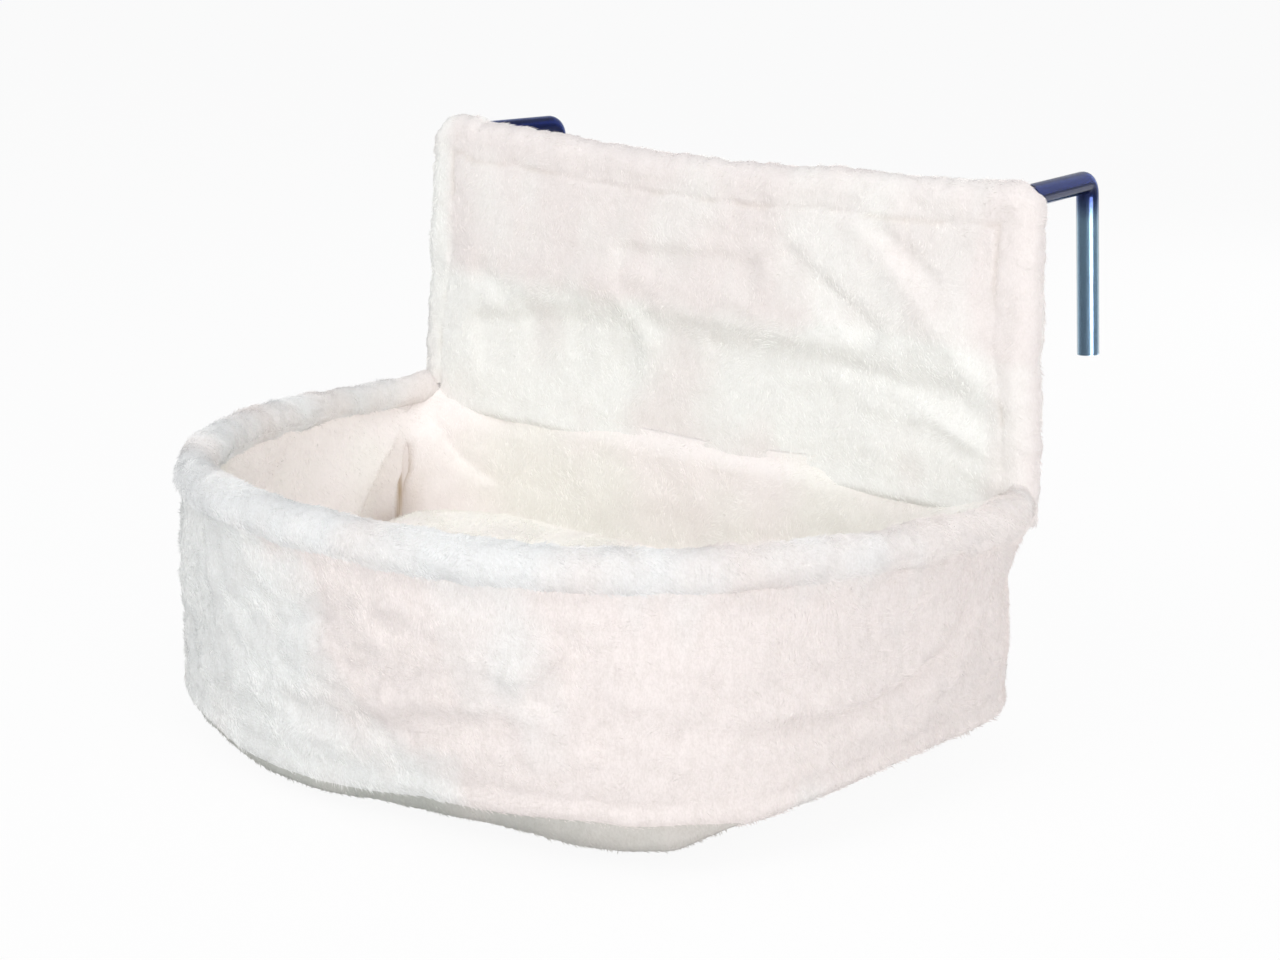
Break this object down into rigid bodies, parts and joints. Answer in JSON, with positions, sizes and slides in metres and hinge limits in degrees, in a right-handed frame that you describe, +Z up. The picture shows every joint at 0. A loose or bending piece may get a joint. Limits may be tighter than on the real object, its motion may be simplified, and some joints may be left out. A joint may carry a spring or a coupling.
{
  "type": "radiator cat bed",
  "caption": "Plush cat bed that hangs on a radiator: swivelling steel hooks, padded back panel, D-shaped rim and a soft tub with a padded floor.",
  "frame": {"origin": "bottom centre of the bounding box, under the middle of the bed", "axes": "+X along the back panel and the radiator, +Y from the room towards the radiator, +Z up"},
  "size_m": [0.448, 0.413, 0.2903],
  "materials": {
    "plush": "short pile plush",
    "plush_cream": "short pile plush",
    "wadding": "polyester wadding",
    "foam": "soft foam tube",
    "steel": "bright drawn tube and rod",
    "sleeve": "clear tinted sleeve",
    "board": "hardboard"
  },
  "bodies": {
    "bed": {"floor_board": "board", "floor_cushion": "plush_cream", "panel_back_cover": "plush", "panel_front_cover": "plush", "panel_wadding": "wadding", "rim_cover": "plush", "rim_foam": "foam", "rim_hoop": "steel", "tub_lining": "plush_cream", "tub_outer_wall": "plush", "tub_underside": "plush", "tub_wall_wadding": "wadding", "upright_foam_left": "foam", "upright_foam_right": "foam"},
    "hook_left": {"hook_rod_left": "steel", "hook_sleeve_left": "sleeve"},
    "hook_right": {"hook_rod_right": "steel", "hook_sleeve_right": "sleeve"}
  },
  "joints": [
    {"name": "hook_swivel_left", "type": "hinge", "parent": "bed", "child": "hook_left", "pos_m": [-0.19655, 0.11166, 0.123], "axis": [0.0576, 0, 0.9983], "range_deg": [-8, 16]},
    {"name": "hook_swivel_right", "type": "hinge", "parent": "bed", "child": "hook_right", "pos_m": [0.19655, 0.11166, 0.123], "axis": [-0.0576, 0, 0.9983], "range_deg": [-16, 8]}
  ]
}
